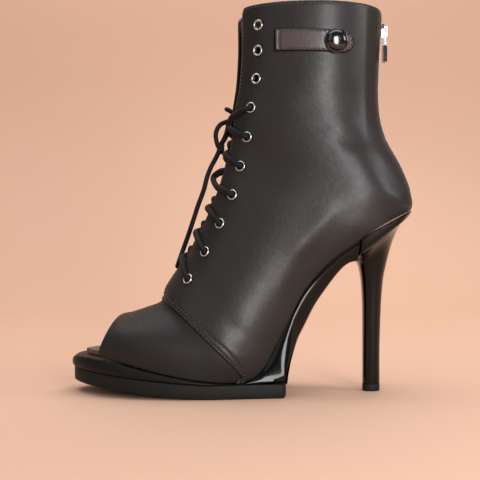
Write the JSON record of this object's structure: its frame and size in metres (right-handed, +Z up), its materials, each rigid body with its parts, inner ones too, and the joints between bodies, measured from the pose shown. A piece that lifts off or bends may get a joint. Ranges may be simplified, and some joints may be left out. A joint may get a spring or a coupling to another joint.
{
  "type": "stiletto ankle boot",
  "caption": "Left black leather platform ankle boot with a peep toe, stiletto heel, front lacing, a side strap with a snap and a back zip.",
  "frame": {"origin": "centre of the footprint at the floor", "axes": "+Z up, toe towards -X, lateral side towards -Y"},
  "size_m": [0.215, 0.0806, 0.2391],
  "materials": {
    "leather": "smooth calf, satin",
    "gloss_wrap": "glossy wrap",
    "sole_rubber": "matte",
    "lining": "unfinished tan lining",
    "metal": "polished nickel",
    "dark_metal": "polished gunmetal",
    "lace_cotton": "waxed cotton cord"
  },
  "bodies": {
    "boot": {"upper": "leather", "tongue": "leather", "insole": "lining", "platform_cover": "leather", "outsole": "sole_rubber", "waist": "gloss_wrap", "heel": "gloss_wrap", "top_lift": "sole_rubber", "strap": "leather", "snap_cap": "dark_metal", "eyelet_lateral_1": "metal", "eyelet_lateral_2": "metal", "eyelet_lateral_3": "metal", "eyelet_lateral_4": "metal", "eyelet_lateral_5": "metal", "eyelet_lateral_6": "metal", "eyelet_lateral_7": "metal", "eyelet_lateral_8": "metal", "eyelet_lateral_9": "metal", "eyelet_lateral_10": "metal", "eyelet_medial_1": "metal", "eyelet_medial_2": "metal", "eyelet_medial_3": "metal", "eyelet_medial_4": "metal", "eyelet_medial_5": "metal", "eyelet_medial_6": "metal", "eyelet_medial_7": "metal", "eyelet_medial_8": "metal", "eyelet_medial_9": "metal", "eyelet_medial_10": "metal", "lace_crossing_1": "lace_cotton", "lace_crossing_2": "lace_cotton", "lace_crossing_3": "lace_cotton", "lace_crossing_4": "lace_cotton", "lace_crossing_5": "lace_cotton", "lace_crossing_6": "lace_cotton", "lace_bar": "lace_cotton", "lace_knot": "lace_cotton", "lace_lead": "lace_cotton", "lace_curl": "lace_cotton", "lace_end": "lace_cotton", "zip_chain": "dark_metal", "zip_slider": "metal"},
    "zip_pull": {"pull_link": "metal", "pull_tab": "leather"}
  },
  "joints": [
    {"name": "zip_pull_swing", "type": "hinge", "parent": "boot", "child": "zip_pull", "pos_m": [0.09052, 0.00053, 0.22527], "axis": [0, -1, 0], "range_deg": [-3, 120]}
  ]
}
